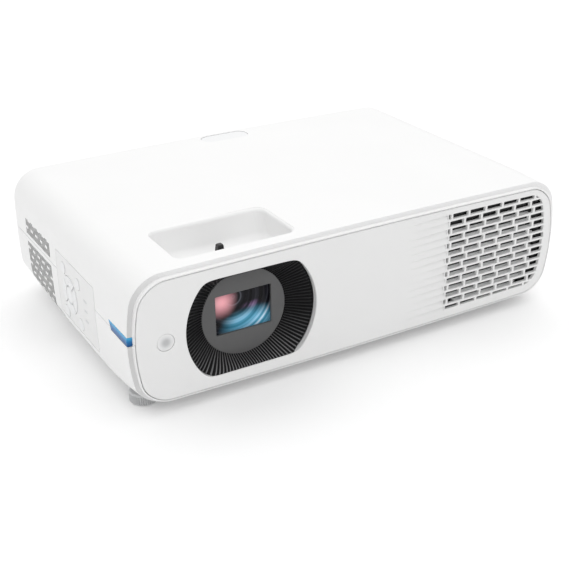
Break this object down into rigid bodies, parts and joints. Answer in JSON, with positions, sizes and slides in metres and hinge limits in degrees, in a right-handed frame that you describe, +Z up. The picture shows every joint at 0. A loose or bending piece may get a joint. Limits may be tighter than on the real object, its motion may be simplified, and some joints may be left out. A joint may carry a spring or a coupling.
{
  "type": "projector",
  "caption": "Low wide home projector with a side-set zoom lens in a ribbed funnel, brick-pattern vent, top adjustment well, side keypad and screw-out front feet.",
  "frame": {"origin": "under the middle of the object's box, on the surface its feet stand on", "axes": "+X to the right seen from the front, the lens looks along -Y, +Z up"},
  "size_m": [0.4056, 0.271, 0.1183],
  "materials": {
    "casing_white": "fine satin texture",
    "panel_white": "smooth satin",
    "key_white": "smooth satin",
    "accent_blue": "gloss",
    "window_white": "gloss, slightly translucent",
    "bezel_black": "satin black with fine ribs",
    "mask_grey": "matte",
    "black_plastic": "matte",
    "foot_grey": "satin",
    "pad_rubber": "matte",
    "lens_glass": "coated, polished",
    "cast_aluminium": "as cast",
    "fin_aluminium": "bright",
    "pipe_copper": "bright copper",
    "port_steel": "plated",
    "port_blue": "matte",
    "board_green": "solder mask gloss",
    "led_red": "satin",
    "led_green": "satin",
    "led_blue": "satin",
    "led_violet": "satin"
  },
  "bodies": {
    "projector": {"top_cover": "casing_white", "bottom_cover": "casing_white", "front_panel": "panel_white", "rear_io_panel": "black_plastic", "accent_strip": "accent_blue", "ir_window_front": "window_white", "ir_window_top": "window_white", "control_panel": "panel_white", "indicator_light_guide": "window_white", "keypad_board": "board_green", "lens_bezel": "bezel_black", "lens_mask": "mask_grey", "lens_barrel": "black_plastic", "rear_lens": "lens_glass", "optical_engine_housing": "cast_aluminium", "prism": "lens_glass", "dmd_chip": "black_plastic", "dmd_board": "board_green", "dmd_heatsink": "fin_aluminium", "led_module_red": "led_red", "led_module_green": "led_green", "led_module_blue": "led_blue", "led_module_pump": "led_violet", "led_heatsink": "fin_aluminium", "heat_pipe": "pipe_copper", "exhaust_fan_frame": "black_plastic", "intake_fan_frame": "black_plastic", "mainboard": "board_green", "power_board": "board_green", "speaker_frame": "black_plastic", "speaker_cone": "pad_rubber", "ac_inlet": "black_plastic", "hdmi_port_1": "port_steel", "hdmi_port_2": "port_steel", "vga_port": "port_blue", "rs232_port": "port_steel", "usb_port": "port_steel", "audio_jacks": "black_plastic", "rear_left_foot_pad": "pad_rubber", "rear_right_foot_pad": "pad_rubber"},
    "zoom_ring": {"zoom_ring": "black_plastic", "zoom_lever_knob": "black_plastic"},
    "zoom_lens_group": {"zoom_lens": "lens_glass"},
    "focus_ring": {"focus_ring": "black_plastic"},
    "focus_lens_group": {"front_lens": "lens_glass"},
    "exhaust_fan_impeller": {"exhaust_fan_impeller": "black_plastic"},
    "intake_fan_impeller": {"intake_fan_impeller": "black_plastic"},
    "front_left_foot": {"front_left_foot_stud": "port_steel"},
    "front_left_foot_wheel": {"front_left_foot_wheel": "foot_grey"},
    "front_right_foot": {"front_right_foot_stud": "port_steel"},
    "front_right_foot_wheel": {"front_right_foot_wheel": "foot_grey"},
    "power_key": {"power_key": "key_white"},
    "back_key": {"back_key": "key_white"},
    "source_key": {"source_key": "key_white"},
    "menu_key": {"menu_key": "key_white"},
    "nav_up_key": {"nav_up_key": "key_white"},
    "nav_down_key": {"nav_down_key": "key_white"},
    "nav_left_key": {"nav_left_key": "key_white"},
    "nav_right_key": {"nav_right_key": "key_white"},
    "enter_key": {"enter_key": "key_white"}
  },
  "joints": [
    {"name": "zoom_ring_turn", "type": "hinge", "parent": "projector", "child": "zoom_ring", "pos_m": [-0.103, -0.0855, 0.0636], "axis": [0, -1, 0], "range_deg": [-20, 20]},
    {"name": "zoom_lens_slide", "type": "slide", "parent": "projector", "child": "zoom_lens_group", "axis": [0, -1, 0], "range_m": [-0.006, 0.006]},
    {"name": "focus_ring_turn", "type": "hinge", "parent": "projector", "child": "focus_ring", "pos_m": [-0.103, -0.1025, 0.0636], "axis": [0, -1, 0], "range_deg": [-45, 45]},
    {"name": "focus_lens_slide", "type": "slide", "parent": "projector", "child": "focus_lens_group", "axis": [0, -1, 0], "range_m": [-0.0015, 0.0015]},
    {"name": "exhaust_fan_spin", "type": "hinge", "parent": "projector", "child": "exhaust_fan_impeller", "pos_m": [0.127, -0.107, 0.0615], "axis": [0, -1, 0], "continuous": true},
    {"name": "intake_fan_spin", "type": "hinge", "parent": "projector", "child": "intake_fan_impeller", "pos_m": [-0.18, 0.0665, 0.057], "axis": [1, 0, 0], "continuous": true},
    {"name": "front_left_foot_raise", "type": "slide", "parent": "projector", "child": "front_left_foot", "axis": [0, 0, -1], "range_m": [0, 0.0121]},
    {"name": "front_left_foot_turn", "type": "hinge", "parent": "front_left_foot", "child": "front_left_foot_wheel", "pos_m": [-0.182, -0.1045, 0.005], "axis": [0, 0, 1], "range_deg": [0, 2160]},
    {"name": "front_right_foot_raise", "type": "slide", "parent": "projector", "child": "front_right_foot", "axis": [0, 0, -1], "range_m": [0, 0.0121]},
    {"name": "front_right_foot_turn", "type": "hinge", "parent": "front_right_foot", "child": "front_right_foot_wheel", "pos_m": [0.182, -0.1045, 0.005], "axis": [0, 0, 1], "range_deg": [0, 2160]},
    {"name": "power_key_press", "type": "slide", "parent": "projector", "child": "power_key", "axis": [1, 0, 0], "range_m": [0, 0.0008], "stiffness_N_per_m": 1500},
    {"name": "back_key_press", "type": "slide", "parent": "projector", "child": "back_key", "axis": [1, 0, 0], "range_m": [0, 0.0008], "stiffness_N_per_m": 1500},
    {"name": "source_key_press", "type": "slide", "parent": "projector", "child": "source_key", "axis": [1, 0, 0], "range_m": [0, 0.0008], "stiffness_N_per_m": 1500},
    {"name": "menu_key_press", "type": "slide", "parent": "projector", "child": "menu_key", "axis": [1, 0, 0], "range_m": [0, 0.0008], "stiffness_N_per_m": 1500},
    {"name": "nav_up_key_press", "type": "slide", "parent": "projector", "child": "nav_up_key", "axis": [1, 0, 0], "range_m": [0, 0.0008], "stiffness_N_per_m": 1500},
    {"name": "nav_down_key_press", "type": "slide", "parent": "projector", "child": "nav_down_key", "axis": [1, 0, 0], "range_m": [0, 0.0008], "stiffness_N_per_m": 1500},
    {"name": "nav_left_key_press", "type": "slide", "parent": "projector", "child": "nav_left_key", "axis": [1, 0, 0], "range_m": [0, 0.0008], "stiffness_N_per_m": 1500},
    {"name": "nav_right_key_press", "type": "slide", "parent": "projector", "child": "nav_right_key", "axis": [1, 0, 0], "range_m": [0, 0.0008], "stiffness_N_per_m": 1500},
    {"name": "enter_key_press", "type": "slide", "parent": "projector", "child": "enter_key", "axis": [1, 0, 0], "range_m": [0, 0.0008], "stiffness_N_per_m": 1500}
  ],
  "couplings": [
    {"joint": "zoom_lens_slide", "follows": "zoom_ring_turn", "m_per_rad": 0.017},
    {"joint": "focus_lens_slide", "follows": "focus_ring_turn", "m_per_rad": 0.0018},
    {"joint": "front_left_foot_raise", "follows": "front_left_foot_turn", "m_per_rad": 0.00031831},
    {"joint": "front_right_foot_raise", "follows": "front_right_foot_turn", "m_per_rad": 0.00031831}
  ]
}
